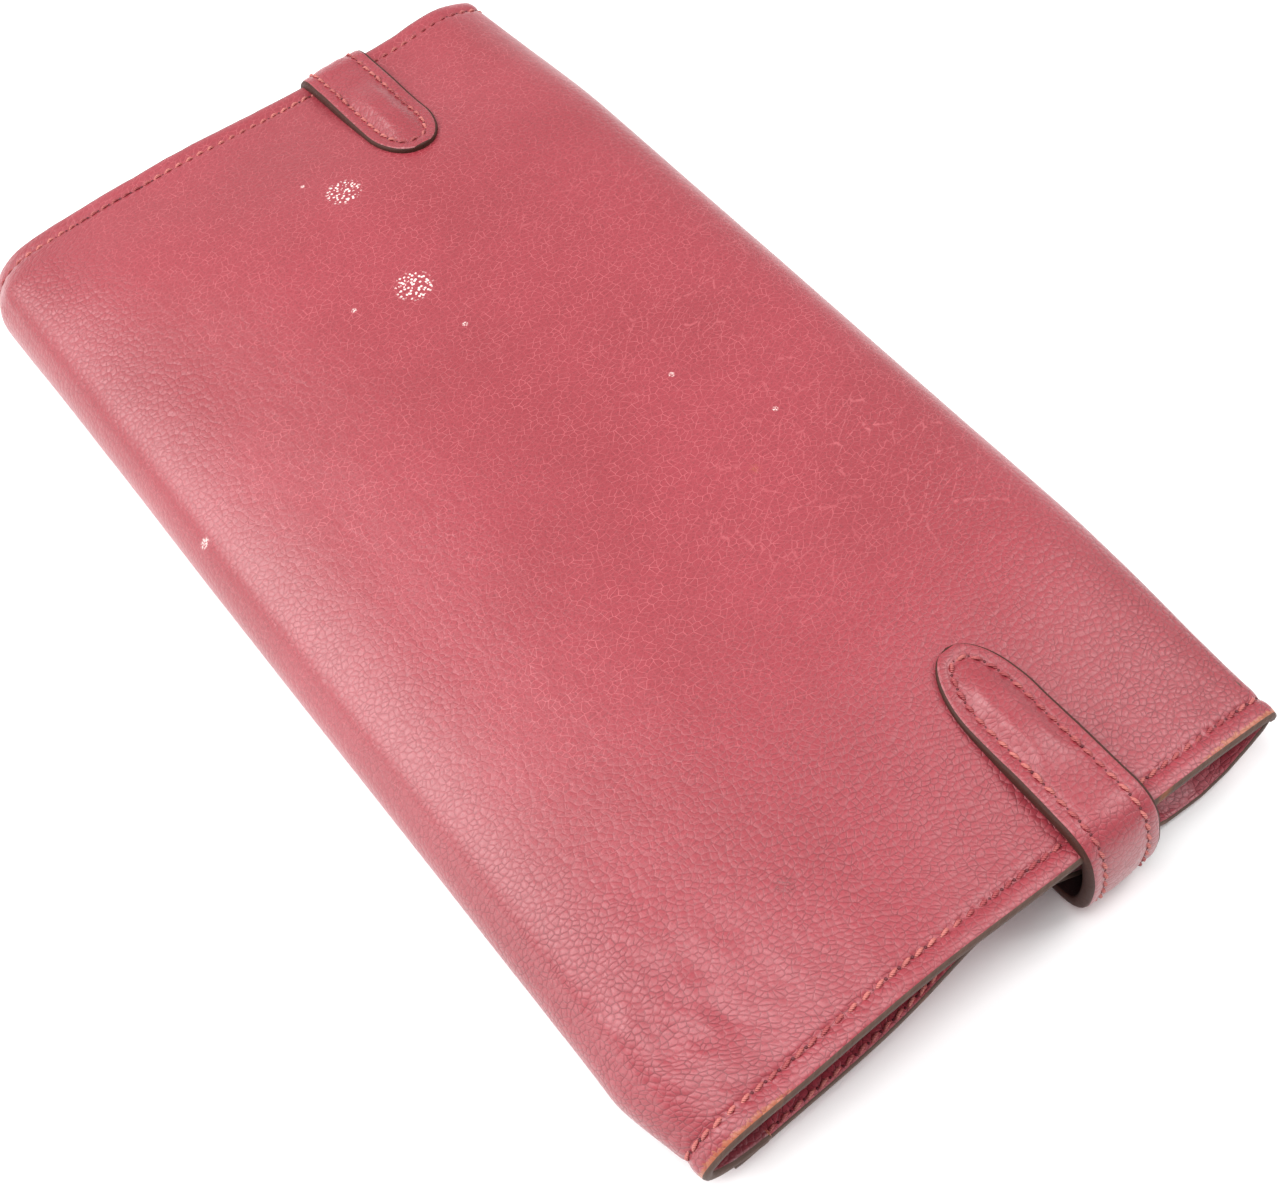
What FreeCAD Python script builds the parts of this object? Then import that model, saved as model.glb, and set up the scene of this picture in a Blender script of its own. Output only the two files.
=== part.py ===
"""Long wallet: two covers and an inner flap, with a strap round each short end.

Millimetres. X runs across the wallet from the spine fold (-X) to the flap fold (+X), Y along it
from the near end (-Y) to the far end (+Y), Z up. The origin is on the underside of the front
cover, in the middle: the wallet lies on its front cover, with the back cover on top.
"""
import FreeCAD, Part
import os
from math import pi, sqrt

os.makedirs("parts", exist_ok=True)
Vector = FreeCAD.Vector

# ---- Driving dimensions -------------------------------------------------------------------
WIDTH = 100.0                 # across, from fold to fold
LENGTH = 198.0                # back cover, from end to end
SKIN = 1.2                    # outer leather
BACKING = 0.5                 # reinforcement between leather and lining
LINING = 0.8                  # lining leather

# The spine fold turns about this height
SPINE_AXIS_Z = 11.55

# Front cover, the lower one
FRONT_LENGTH = 197.0
FRONT_RIGHT = 48.0            # free edge
FRONT_WALL_TOP = 11.2         # top of the wall at the spine
BELLY_HALF_LENGTH = 58.0      # the stretch that lies on the table
RAMP_END = 74.0               # past it the cover is raised, to clear the straps
END_RISE = 3.6
FRONT_CORNER_RADIUS = 4.0

# Back cover, the upper one
CROWN_Z = 20.6                # top, along the middle
SPINE_SHOULDER_Z = 18.2
FLAP_SHOULDER_Z = 17.8
SPINE_WALL_BOTTOM = 11.9
FLAP_WALL_BOTTOM = 12.3
SPINE_RADIUS = 6.0
FLAP_RADIUS = 4.6
CROWN_RADIUS = 300.0

# Card slots, stepped like shingles
SLOT_THICKNESS = 0.6
SLOT_STEP = 12.0
FRONT_SLOT_LEFT = -38.0
FRONT_SLOT_RIGHT = 46.0
SLOT_COLUMN_INNER = 1.5       # half the gap between the near and far columns
SLOT_COLUMN_OUTER = 91.5
FLAP_SLOT_THICKNESS = 0.5
FLAP_SLOT_LEFT = 8.0
FLAP_SLOT_STEP = 9.0

# Inner flap
FLAP_LEFT = 4.0
FLAP_LENGTH = 188.0
FLAP_BOTTOM = 8.6
FLAP_SKIN = 1.1
FLAP_LINING = 0.7

# Coin pocket in the back cover, closed by a zip along Y
POCKET_BOTTOM = 13.2
POCKET_THICKNESS = 0.8
POCKET_LENGTH = 176.0
ZIP_X = -18.0
ZIP_MOUTH = 5.2               # between the two panels
ZIP_LENGTH = 156.0
ZIP_GAP = 1.2                 # between the two rows of teeth
TOOTH = (1.4, 0.8, 1.3)       # size along X, Y, Z
TOOTH_PITCH = 2.0
TAPE_WIDTH = 3.4
TAPE_THICKNESS = 0.5
STOP_LENGTH = 1.6
SLIDER_LENGTH = 8.0
SLIDER_Y = 72.0               # closed
SLIDER_PLATE = 0.8
SLIDER_PLAY = 0.2
PULLER_LENGTH = 12.0
PULLER_WIDTH = 4.4
PULLER_THICKNESS = 0.9
BARREL_RADIUS = 0.6
BARREL_LENGTH = 1.8
PIN_RADIUS = 0.3
PIN_PLAY = 0.06
LUG_THICKNESS = 0.6
LUG_PLAY = 0.1

# Straps
STRAP_X = 19.0
STRAP_WIDTH = 11.7
STRAP_SKIN = 1.2
STRAP_LINING = 0.9
TAB_TIP = 66.2                # the sewn tab's tip, from the middle
TAB_END = 99.0
TIP_LENGTH = 10.0             # of the half ellipse at each tip
PAD_MARGIN = 2.8
PAD_THICKNESS = 0.5
LOOP_START = 99.3
LOOP_OUTER = 103.0
LOOP_TOP = 21.4
LOOP_BOTTOM = 0.8
LOOP_RADIUS = 3.2
STRAP_TIP = 85.0              # the loose tip, under the wallet

# Snap fasteners
SNAP_Y = 91.0
SNAP_CAP_RADIUS = 4.4
SNAP_CAP_HEIGHT = 0.7
SNAP_SOCKET_RADIUS = 4.0
SNAP_SOCKET_BORE = 2.1
SNAP_SOCKET_HEIGHT = 0.6
STUD_RADIUS = 1.8
STUD_HEIGHT = 0.7

# Stitching
STITCH_PITCH = 2.2
STITCH = (1.5, 0.5)           # length and width of one stitch
THREAD = 0.3                  # height above the leather
EDGE_SEAM = 3.0               # from a cover's short end
STRAP_SEAM = 1.9              # from a strap's edge

HALF = WIDTH / 2
REACH = 300.0                 # longer than any piece, for cutting bodies


# ---- Shape helpers ------------------------------------------------------------------------
def export(name, *solids):
    """Write one node: a single solid, or a group of separate ones."""
    shape = solids[0] if len(solids) == 1 else Part.makeCompound(list(solids))
    shape.exportStep(f"parts/{name}.step")


def box(x0, x1, y0, y1, z0, z1):
    return Part.makeBox(x1 - x0, y1 - y0, z1 - z0, Vector(x0, y0, z0))


def rounded_face(points, radii):
    """A face inside a closed outline whose corners have the given radii (0 is sharp)."""
    edges = []
    ends = []
    count = len(points)
    for i in range(count):
        corner = points[i]
        back = (points[i - 1] - corner).normalize()
        ahead = (points[(i + 1) % count] - corner).normalize()
        if radii[i] <= 0:
            ends.append((corner, corner))
            continue
        opening = back.getAngle(ahead)
        tangent = radii[i] / abs(sqrt((1 - back.dot(ahead)) / (1 + back.dot(ahead))))
        middle = (back + ahead).normalize()
        half_sine = sqrt((1 - back.dot(ahead)) / 2)
        nearest = corner + middle * (radii[i] / half_sine - radii[i])
        start = corner + back * tangent
        end = corner + ahead * tangent
        if opening < pi:
            edges.append(Part.Arc(start, nearest, end).toShape())
        ends.append((start, end))
    for i in range(count):
        start = ends[i][1]
        end = ends[(i + 1) % count][0]
        if start.distanceToPoint(end) > 1e-6:
            edges.append(Part.LineSegment(start, end).toShape())
    wire = Part.Wire(Part.__sortEdges__(edges))
    return Part.Face(wire)


def prism_along_y(outline, radii, y0, y1):
    """An outline of (x, z) corners, drawn out from y0 to y1."""
    face = rounded_face([Vector(x, y0, z) for x, z in outline], radii)
    return face.extrude(Vector(0, y1 - y0, 0))


def prism_along_x(outline, radii, x0, x1):
    """An outline of (y, z) corners, drawn out from x0 to x1."""
    face = rounded_face([Vector(x0, y, z) for y, z in outline], radii)
    return face.extrude(Vector(x1 - x0, 0, 0))


def both_ends(solid):
    """A solid at the near end and its mirror image at the far end."""
    return solid, solid.mirror(Vector(0, 0, 0), Vector(0, 1, 0))


def mirrored(solid, end):
    """The solid itself for the near end, its mirror image for the far one."""
    return solid if end == "near" else both_ends(solid)[1]


# ---- Back cover shell ---------------------------------------------------------------------
def under_back_surface(inset, length):
    """Everything under the back cover's outer surface, moved in by inset, down to Z = 0."""
    outline = [(-HALF + inset, 0), (-HALF + inset, SPINE_SHOULDER_Z - inset),
               (0, CROWN_Z - inset), (HALF - inset, FLAP_SHOULDER_Z - inset),
               (HALF - inset, 0)]
    radii = [0, SPINE_RADIUS - inset, CROWN_RADIUS, FLAP_RADIUS - inset, 0]
    return prism_along_y(outline, radii, -length / 2, length / 2)


def back_layer(outer, inner, length):
    """A layer of the back cover between two depths below its outer surface."""
    shell = under_back_surface(outer, length).cut(under_back_surface(inner, length + SKIN))
    shell = shell.cut(box(-HALF, 0, -length, length, 0, SPINE_WALL_BOTTOM))
    return shell.cut(box(0, HALF, -length, length, 0, FLAP_WALL_BOTTOM))


def above_back_cover(inner, outer, column):
    """The part of a vertical column between two heights above the back cover."""
    low = under_back_surface(-inner, REACH)
    high = under_back_surface(-outer, REACH)
    return column.common(high).cut(low)


# ---- Front cover --------------------------------------------------------------------------
def above_front_surface(inset, length, right):
    """Everything above the front cover's outer surface, moved in by inset."""
    across = prism_along_y([(-HALF + inset, inset), (-HALF + inset, FRONT_WALL_TOP),
                            (right, FRONT_WALL_TOP), (right, inset)],
                           [FRONT_CORNER_RADIUS - inset, 0, 0, 0], -length / 2, length / 2)
    end = length / 2
    profile = [(-end, END_RISE + inset), (-RAMP_END, END_RISE + inset),
               (-BELLY_HALF_LENGTH, inset), (BELLY_HALF_LENGTH, inset),
               (RAMP_END, END_RISE + inset), (end, END_RISE + inset),
               (end, FRONT_WALL_TOP), (-end, FRONT_WALL_TOP)]
    along = prism_along_x(profile, [0] * len(profile), -REACH, REACH)
    return across.common(along)


def beside_strap(x_from, x_to, y, z0, z1):
    """Rows of stitches along X on each side of a strap."""
    half = STRAP_WIDTH / 2
    return (stitch_row(x_from, STRAP_X - half, y, z0, z1)
            + stitch_row(STRAP_X + half, x_to, y, z0, z1))


def stitch_row(x_from, x_to, y, z0, z1):
    """Stitches in line along X, at their pitch."""
    length, width = STITCH
    count = int((x_to - x_from) / STITCH_PITCH)
    first = (x_from + x_to - count * STITCH_PITCH) / 2
    starts = [first + i * STITCH_PITCH for i in range(count)]
    return [box(x, x + length, y - width / 2, y + width / 2, z0, z1) for x in starts]


def front_cover():
    shell = above_front_surface(0, FRONT_LENGTH, FRONT_RIGHT)
    leather = shell.cut(above_front_surface(SKIN, FRONT_LENGTH + SKIN, FRONT_RIGHT + SKIN))
    export("front_cover_leather", leather)

    deck = END_RISE + SKIN
    pad_left = -HALF + FRONT_CORNER_RADIUS
    export("front_padding", box(pad_left, FRONT_RIGHT - 1, -BELLY_HALF_LENGTH + 1,
                                BELLY_HALF_LENGTH - 1, SKIN, deck))
    edge = SLOT_COLUMN_OUTER + 0.5
    lining_top = deck + LINING
    export("front_lining", box(-HALF + SKIN, FRONT_RIGHT, -edge, edge, deck, lining_top))

    for i in range(4):
        left = FRONT_SLOT_LEFT + i * SLOT_STEP
        bottom = lining_top + i * SLOT_THICKNESS
        column = box(left, FRONT_SLOT_RIGHT, -SLOT_COLUMN_OUTER, -SLOT_COLUMN_INNER,
                     bottom, bottom + SLOT_THICKNESS)
        export(f"front_card_slot_{i + 1}", *both_ends(column))

    seam_y = -FRONT_LENGTH / 2 + EDGE_SEAM
    stitches = []
    row = beside_strap(-HALF + FRONT_CORNER_RADIUS, FRONT_RIGHT - EDGE_SEAM, seam_y,
                       END_RISE - THREAD, END_RISE)
    for stitch in row:
        stitches += both_ends(stitch)
    export("front_edge_stitching", *stitches)

    stud = Part.makeCylinder(STUD_RADIUS, STUD_HEIGHT,
                             Vector(STRAP_X, -SNAP_Y, END_RISE - STUD_HEIGHT))
    for end in ("near", "far"):
        export(f"{end}_snap_stud", mirrored(stud, end))


# ---- Back cover ---------------------------------------------------------------------------
def back_cover():
    backing_depth = SKIN + BACKING
    export("back_cover_leather", back_layer(0, SKIN, LENGTH))
    export("back_reinforcement", back_layer(SKIN, backing_depth, LENGTH - 1))
    export("back_lining", back_layer(backing_depth, backing_depth + LINING, LENGTH - 1))

    stitches = []
    seam_y = -LENGTH / 2 + EDGE_SEAM
    row = beside_strap(-HALF + SPINE_RADIUS, HALF - FLAP_RADIUS, seam_y, 0, REACH)
    for column in row:
        stitches += both_ends(above_back_cover(0, THREAD, column))
    export("back_edge_stitching", *stitches)


# ---- Coin pocket and its zip --------------------------------------------------------------
def coin_pocket():
    depth = SKIN + BACKING + LINING
    wall = HALF - depth
    room = under_back_surface(depth, REACH)
    end = POCKET_LENGTH / 2
    top = POCKET_BOTTOM + POCKET_THICKNESS
    mouth_left = ZIP_X - ZIP_MOUTH / 2
    mouth_right = ZIP_X + ZIP_MOUTH / 2
    spine_strip = box(-wall, mouth_left, -end, end, POCKET_BOTTOM, top)
    panel = box(mouth_right, wall, -end, end, POCKET_BOTTOM, top)
    export("coin_pocket_spine_strip", spine_strip.common(room))
    export("coin_pocket_panel", panel.common(room))

    stitches = []
    seam_y = -end + EDGE_SEAM
    for x_from, x_to in ((-wall + 2, mouth_left - 1), (mouth_right + 1, wall - 2)):
        for stitch in stitch_row(x_from, x_to, seam_y, POCKET_BOTTOM - THREAD, POCKET_BOTTOM):
            stitches += both_ends(stitch)
    export("coin_pocket_stitching", *stitches)

    half_zip = ZIP_LENGTH / 2
    tooth_x, tooth_y, tooth_z = TOOTH
    tooth_bottom = POCKET_BOTTOM + 0.3
    count = int((ZIP_LENGTH - 4) / TOOTH_PITCH)
    for side, sign in (("left", -1), ("right", 1)):
        inner = ZIP_X + sign * (ZIP_GAP / 2)
        root = inner + sign * tooth_x
        tape_outer = root + sign * TAPE_WIDTH
        teeth = []
        for i in range(count):
            y = -(count - 1) * TOOTH_PITCH / 2 + i * TOOTH_PITCH + sign * TOOTH_PITCH / 4
            teeth.append(box(min(inner, root), max(inner, root), y - tooth_y / 2,
                             y + tooth_y / 2, tooth_bottom, tooth_bottom + tooth_z))
        export(f"zip_teeth_{side}", *teeth)
        tape = box(min(root, tape_outer), max(root, tape_outer), -half_zip - 4, half_zip + 4,
                   top, top + TAPE_THICKNESS)
        export(f"zip_tape_{side}", tape)

    stop_half = ZIP_GAP / 2 + tooth_x
    stop = box(ZIP_X - stop_half, ZIP_X + stop_half, -half_zip - STOP_LENGTH, -half_zip,
               tooth_bottom, tooth_bottom + tooth_z)
    export("zip_end_stops", *both_ends(stop))
    zip_slider(tooth_bottom, tooth_bottom + tooth_z)


def zip_slider(tooth_bottom, tooth_top):
    """Two plates joined by a neck between the teeth, with lugs and a pin for the puller."""
    half = ZIP_MOUTH / 2 - SLIDER_PLAY
    y0 = SLIDER_Y - SLIDER_LENGTH / 2
    y1 = SLIDER_Y + SLIDER_LENGTH / 2
    lower_top = tooth_bottom - SLIDER_PLAY
    lower_bottom = lower_top - SLIDER_PLATE - PIN_RADIUS
    upper_bottom = tooth_top + SLIDER_PLAY
    neck_half = ZIP_GAP / 2 - SLIDER_PLAY
    body = box(ZIP_X - half, ZIP_X + half, y0, y1, lower_bottom, lower_top)
    body = body.fuse(box(ZIP_X - half, ZIP_X + half, y0, y1, upper_bottom,
                         upper_bottom + SLIDER_PLATE))
    body = body.fuse(box(ZIP_X - neck_half, ZIP_X + neck_half, SLIDER_Y, y1,
                         lower_bottom, upper_bottom + SLIDER_PLATE))
    pin_z = lower_bottom - BARREL_RADIUS - LUG_PLAY
    pin_y = SLIDER_Y - 1
    lug_inner = BARREL_LENGTH / 2 + LUG_PLAY
    lug_outer = lug_inner + LUG_THICKNESS
    for sign in (-1, 1):
        x0, x1 = sorted((ZIP_X + sign * lug_inner, ZIP_X + sign * lug_outer))
        body = body.fuse(box(x0, x1, pin_y - BARREL_RADIUS, pin_y + BARREL_RADIUS,
                             pin_z - BARREL_RADIUS, lower_bottom))
    pin = Part.makeCylinder(PIN_RADIUS, 2 * lug_outer, Vector(ZIP_X - lug_outer, pin_y, pin_z),
                            Vector(1, 0, 0))
    export("zip_slider", body.fuse(pin).removeSplitter())

    barrel = Part.makeCylinder(BARREL_RADIUS, BARREL_LENGTH,
                               Vector(ZIP_X - BARREL_LENGTH / 2, pin_y, pin_z), Vector(1, 0, 0))
    neck = box(ZIP_X - BARREL_LENGTH / 2, ZIP_X + BARREL_LENGTH / 2, pin_y - 3, pin_y,
               pin_z - PULLER_THICKNESS / 2, pin_z + PULLER_THICKNESS / 2)
    tongue_end = pin_y - PULLER_LENGTH
    tongue = box(ZIP_X - PULLER_WIDTH / 2, ZIP_X + PULLER_WIDTH / 2, tongue_end, pin_y - 2,
                 pin_z - PULLER_THICKNESS / 2, pin_z + PULLER_THICKNESS / 2)
    bore = Part.makeCylinder(PIN_RADIUS + PIN_PLAY, 2 * BARREL_LENGTH,
                             Vector(ZIP_X - BARREL_LENGTH, pin_y, pin_z), Vector(1, 0, 0))
    puller = barrel.fuse(neck).fuse(tongue).cut(bore)
    export("zip_puller", puller.removeSplitter())
    print(f"slider pin at x {ZIP_X}, y {pin_y}, z {pin_z:.3f}")


# ---- Inner flap ---------------------------------------------------------------------------
def inner_flap():
    end = FLAP_LENGTH / 2
    lining_bottom = FLAP_BOTTOM + FLAP_SKIN
    slot_bottom = lining_bottom + FLAP_LINING
    export("inner_flap_leather", box(FLAP_LEFT, HALF, -end, end, FLAP_BOTTOM, lining_bottom))
    export("inner_flap_lining", box(FLAP_LEFT + 1, HALF - 1, -end + 1, end - 1,
                                    lining_bottom, slot_bottom))
    for i in range(3):
        bottom = slot_bottom + i * FLAP_SLOT_THICKNESS
        column = box(FLAP_SLOT_LEFT + i * FLAP_SLOT_STEP, HALF - 3, -SLOT_COLUMN_OUTER,
                     -SLOT_COLUMN_INNER, bottom, bottom + FLAP_SLOT_THICKNESS)
        export(f"inner_flap_card_slot_{i + 1}", *both_ends(column))
    stitches = []
    for stitch in stitch_row(FLAP_LEFT + 2, HALF - 2, -end + EDGE_SEAM,
                             FLAP_BOTTOM - THREAD, FLAP_BOTTOM):
        stitches += both_ends(stitch)
    export("inner_flap_stitching", *stitches)


# ---- Straps -------------------------------------------------------------------------------
def tongue_column(margin, tip, end):
    """A tongue outline in plan, from its half-elliptic tip to its end, drawn out upwards."""
    half = STRAP_WIDTH / 2 - margin
    tip_y = -tip - margin
    shoulder = tip_y - TIP_LENGTH
    ellipse = Part.Ellipse(Vector(STRAP_X, tip_y, 0), Vector(STRAP_X + half, shoulder, 0),
                           Vector(STRAP_X, shoulder, 0))
    disc = Part.Face(Part.Wire(ellipse.toShape())).extrude(Vector(0, 0, REACH))
    return disc.fuse(box(STRAP_X - half, STRAP_X + half, -end, shoulder, 0, REACH))


def strap_tab(end):
    """The sewn part of a strap, on the back cover: lining, padding and leather."""
    outline = tongue_column(0, TAB_TIP, TAB_END)
    pad_outline = tongue_column(PAD_MARGIN, TAB_TIP, TAB_END - 2 * PAD_MARGIN)
    lining = above_back_cover(0, STRAP_LINING, outline)
    padding = above_back_cover(STRAP_LINING, STRAP_LINING + PAD_THICKNESS, pad_outline)
    leather = above_back_cover(STRAP_LINING, STRAP_LINING + STRAP_SKIN, outline).cut(padding)
    export(f"{end}_tab_lining", mirrored(lining, end))
    export(f"{end}_tab_padding", mirrored(padding, end))
    export(f"{end}_tab_leather", mirrored(leather, end))

    length, width = STITCH
    top = STRAP_LINING + STRAP_SKIN
    stitches = []
    side = STRAP_WIDTH / 2 - STRAP_SEAM
    count = int((TAB_END - TAB_TIP - TIP_LENGTH) / STITCH_PITCH)
    for sign in (-1, 1):
        x = STRAP_X + sign * side
        for i in range(count):
            y = -TAB_END + 1 + i * STITCH_PITCH
            column = box(x - width / 2, x + width / 2, y, y + length, 0, REACH)
            stitches.append(above_back_cover(top, top + THREAD, column))
    export(f"{end}_tab_stitching", *[mirrored(stitch, end) for stitch in stitches])


def loop_band(inner, outer):
    """A layer of the strap's loop, between two depths below its outer face."""
    x0 = STRAP_X - STRAP_WIDTH / 2
    x1 = STRAP_X + STRAP_WIDTH / 2

    def inside(depth):
        far = -LOOP_OUTER + depth
        top = LOOP_TOP - depth
        bottom = LOOP_BOTTOM + depth
        outline = [(0, top), (far, top), (far, bottom), (0, bottom)]
        return prism_along_x(outline, [0, LOOP_RADIUS - depth, LOOP_RADIUS - depth, 0], x0, x1)

    band = inside(outer).cut(inside(inner))
    upper = band.common(box(x0, x1, -REACH, -LOOP_START, SPINE_AXIS_Z, REACH))
    tip = tongue_column(0, STRAP_TIP, LOOP_OUTER)
    lower = band.common(box(x0, x1, -REACH, 0, 0, SPINE_AXIS_Z)).common(tip)
    return upper.fuse(lower).removeSplitter()


def strap_loop(end):
    """The moving part of a strap: round the short end and under it, with its snap."""
    thickness = STRAP_SKIN + STRAP_LINING
    export(f"{end}_strap_leather", mirrored(loop_band(STRAP_SKIN, 0), end))
    export(f"{end}_strap_lining", mirrored(loop_band(thickness, STRAP_SKIN), end))

    length, width = STITCH
    side = STRAP_WIDTH / 2 - STRAP_SEAM
    start = LOOP_BOTTOM + LOOP_RADIUS
    count = int((LOOP_TOP - 2 * LOOP_RADIUS - LOOP_BOTTOM) / STITCH_PITCH)
    stitches = []
    for sign in (-1, 1):
        x = STRAP_X + sign * side
        for i in range(count):
            z = start + i * STITCH_PITCH
            stitches.append(box(x - width / 2, x + width / 2, -LOOP_OUTER - THREAD,
                                -LOOP_OUTER, z, z + length))
    export(f"{end}_strap_stitching", *[mirrored(stitch, end) for stitch in stitches])

    cap_bottom = LOOP_BOTTOM - SNAP_CAP_HEIGHT
    cap = Part.makeCylinder(SNAP_CAP_RADIUS, SNAP_CAP_HEIGHT, Vector(STRAP_X, -SNAP_Y, cap_bottom))
    rim = max(cap.Edges, key=lambda edge: edge.Length * (edge.BoundBox.ZMax < cap_bottom + 0.01))
    cap = cap.makeFillet(SNAP_CAP_HEIGHT / 2, [rim])
    export(f"{end}_snap_cap", mirrored(cap, end))

    seat = Vector(STRAP_X, -SNAP_Y, LOOP_BOTTOM + thickness)
    socket = Part.makeCylinder(SNAP_SOCKET_RADIUS, SNAP_SOCKET_HEIGHT, seat)
    socket = socket.cut(Part.makeCylinder(SNAP_SOCKET_BORE, SNAP_SOCKET_HEIGHT, seat))
    export(f"{end}_snap_socket", mirrored(socket, end))


front_cover()
back_cover()
coin_pocket()
inner_flap()
for wallet_end in ("near", "far"):
    strap_tab(wallet_end)
    strap_loop(wallet_end)
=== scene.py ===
"""Long wallet: the looks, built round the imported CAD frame.

Shapes are worked out in millimetres and scaled to metres as each mesh is made.
"""
import math

import bpy
import numpy as np
from mathutils import Matrix, Vector, noise


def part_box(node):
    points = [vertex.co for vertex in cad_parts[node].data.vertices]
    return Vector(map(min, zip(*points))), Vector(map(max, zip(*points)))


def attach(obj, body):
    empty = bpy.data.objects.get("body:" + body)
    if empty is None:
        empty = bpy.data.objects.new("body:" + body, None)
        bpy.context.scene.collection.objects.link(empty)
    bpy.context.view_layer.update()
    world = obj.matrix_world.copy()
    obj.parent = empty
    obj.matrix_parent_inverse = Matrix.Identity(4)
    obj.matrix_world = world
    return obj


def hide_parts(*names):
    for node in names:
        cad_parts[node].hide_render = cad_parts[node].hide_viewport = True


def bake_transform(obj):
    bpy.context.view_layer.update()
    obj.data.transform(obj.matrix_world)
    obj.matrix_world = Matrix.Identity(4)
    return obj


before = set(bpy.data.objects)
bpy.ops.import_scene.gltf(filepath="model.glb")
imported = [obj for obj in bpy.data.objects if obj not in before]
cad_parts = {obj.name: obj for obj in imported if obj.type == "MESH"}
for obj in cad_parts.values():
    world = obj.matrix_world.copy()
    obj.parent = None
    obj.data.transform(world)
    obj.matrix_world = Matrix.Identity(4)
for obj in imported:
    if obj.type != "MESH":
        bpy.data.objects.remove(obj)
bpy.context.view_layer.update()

MM = 0.001

# ---- Sizes, in mm ----
HALF_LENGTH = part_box("back_cover_leather")[1].y / MM
strap_low, strap_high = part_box("near_strap_leather")
STRAP_X = (strap_low.x + strap_high.x) / 2 / MM
STRAP_HALF = (strap_high.x - strap_low.x) / 2 / MM
TAB_TIP = -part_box("near_tab_leather")[1].y / MM
STRAP_TIP = -strap_high.y / MM
CORNER_Z = 12.0               # where the covers meet at a pinched corner

SKIN = 1.6                    # leather and lining together, at their painted edge
STRAP_THICKNESS = 2.1
SEAM_INSET = 3.0              # stitch line, from a short end
STITCH_PITCH = 2.2            # from one stitch to the next
STRAP_SEAM = 2.2              # stitch line, from the strap's edge
STITCH_LENGTH = 1.9
STITCH_WIDTH = 0.58
STITCH_HEIGHT = 0.36
RIM_STEPS = 4                 # facets round a sheet's edge
EDGE_ZONE = 7.0               # meshes are finer this close to a short end

# ---- Cross-sections of the back cover ----
# (x, z) from under the spine roll, over the top, to the flap fold.
MIDDLE_SECTION = [(-40, 1.0), (-46, 1.5), (-51.4, 4.2), (-53.2, 9.0), (-51.8, 13.4), (-47.4, 16.6),
                  (-36, 18.9), (-15, 20.7), (12, 20.5), (32, 19.5), (44.6, 18.2), (50.2, 15.4),
                  (50.8, 11.6)]
NEAR_SECTION = [(-40, 5.2), (-45, 5.9), (-48.4, 7.6), (-50.1, 10.2), (-49.1, 13.2),
                (-44.3, 16.0), (-34, 17.0), (-14, 19.3), (8, 17.4), (30, 16.2), (42, 14.6),
                (48.6, 13.2), (50.1, 11.4)]
FAR_SECTION = [(-40, 4.6), (-45, 5.0), (-49.6, 6.6), (-52.0, 9.4), (-51.4, 12.4),
               (-46, 15.4), (-34, 16.4), (-14, 16.7), (8, 15.6), (28, 15.1), (41, 16.0),
               (48.6, 13.8), (50.1, 11.4)]
BULGE_NEAR = -0.6             # how far the spine roll stands out, added to the middle section
BULGE_FAR = 2.4
ROLL_PINCH_NEAR = 16.0        # length over which the roll is pinched shut at the near end
ROLL_PINCH_FAR = 9.0
CROWN_PINCH = 44.0            # length over which the crown flattens towards an end


def smooth(t):
    """A soft step: 0 up to t = 0, 1 from t = 1."""
    t = np.clip(t, 0.0, 1.0)
    return t * t * (3 - 2 * t)


def spline(points, count):
    """A Catmull-Rom curve through points, sampled evenly along its length."""
    p = np.array(points, float)
    p = np.vstack([2 * p[0] - p[1], p, 2 * p[-1] - p[-2]])
    fine = []
    for i in range(1, len(p) - 2):
        for t in np.linspace(0, 1, 24, endpoint=False):
            a, b, c, d = p[i - 1], p[i], p[i + 1], p[i + 2]
            fine.append(0.5 * (2 * b + (c - a) * t + (2 * a - 5 * b + 4 * c - d) * t ** 2
                               + (3 * b - a - 3 * c + d) * t ** 3))
    fine.append(p[-2])
    fine = np.array(fine)
    run = run_along(fine)
    at = np.linspace(0, run[-1], count)
    return np.stack([np.interp(at, run, fine[:, k]) for k in range(p.shape[1])], axis=1)


def run_along(points):
    """The length from the first point to each point."""
    return np.concatenate([[0], np.cumsum(np.linalg.norm(np.diff(points, axis=0), axis=1))])


def nearest(values, goal):
    """The index of the value nearest to goal."""
    return int(np.argmin(np.abs(values - goal)))


def section(y):
    """Control points of the back cover's cross-section at y."""
    middle = np.array(MIDDLE_SECTION, float)
    end = np.array(NEAR_SECTION if y < 0 else FAR_SECTION, float)
    along = (y + HALF_LENGTH) / (2 * HALF_LENGTH)
    bulge = BULGE_NEAR + (BULGE_FAR - BULGE_NEAR) * along
    on_roll = smooth((-36 - middle[:, 0]) / 14)
    middle[:, 0] -= bulge * on_roll
    roll_pinch = ROLL_PINCH_NEAR if y < 0 else ROLL_PINCH_FAR
    pinch = roll_pinch + (CROWN_PINCH - roll_pinch) * smooth((middle[:, 0] + 50) / 30)
    pinch[:2] = CROWN_PINCH
    weight = smooth((HALF_LENGTH - abs(y)) / pinch) ** 0.8
    return end + (middle - end) * weight[:, None]


def stations(half, edge_step, step):
    """Places along Y from -half to half, closer together near the ends."""
    edge = np.arange(0, EDGE_ZONE, edge_step)
    count = int((2 * half - 2 * EDGE_ZONE) / step)
    middle = np.linspace(-half + EDGE_ZONE, half - EDGE_ZONE, count)
    return np.concatenate([-half + edge, middle, half - edge[::-1]])


# ---- Mesh helpers ----
def normals_of(grid):
    """Unit normals of a grid of points, outwards for (across, along) index order."""
    du = np.gradient(grid, axis=0)
    dv = np.gradient(grid, axis=1)
    n = np.cross(du, dv)
    return n / np.maximum(np.linalg.norm(n, axis=2, keepdims=True), 1e-9)


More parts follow.
